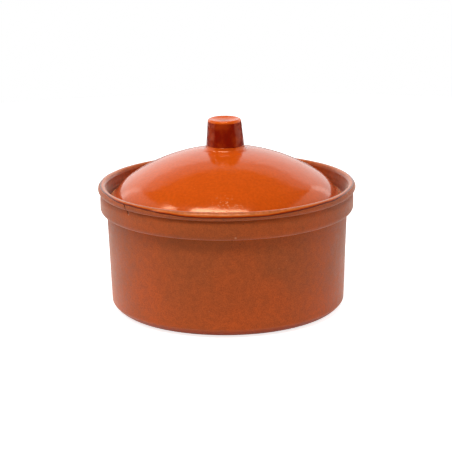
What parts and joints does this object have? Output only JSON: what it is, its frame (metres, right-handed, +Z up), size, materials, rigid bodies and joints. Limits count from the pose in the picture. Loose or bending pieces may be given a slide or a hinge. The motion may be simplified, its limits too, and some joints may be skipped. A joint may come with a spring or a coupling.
{
  "type": "lidded casserole pot",
  "caption": "Round straight-sided terracotta cooking pot with a collar band and rolled lip, and a glazed domed lid with a dished knob that lifts off.",
  "frame": {"origin": "centre of the base, on the surface that the pot stands on", "axes": "+Z up along the axis of revolution of pot and lid; +X and +Y are level and equal, because every piece is round"},
  "size_m": [0.22, 0.22, 0.1637],
  "materials": {
    "bare_terracotta": "unglazed fired clay outside, honey glaze inside and over the lip",
    "honey_glaze": "gloss transparent honey glaze over orange terracotta"
  },
  "bodies": {
    "pot": {"pot": "bare_terracotta"},
    "lid": {"lid": "honey_glaze", "lid_knob": "honey_glaze"}
  },
  "joints": [
    {"name": "lid_lift", "type": "slide", "parent": "pot", "child": "lid", "axis": [0, 0, 1], "range_m": [0, 0.12]}
  ]
}
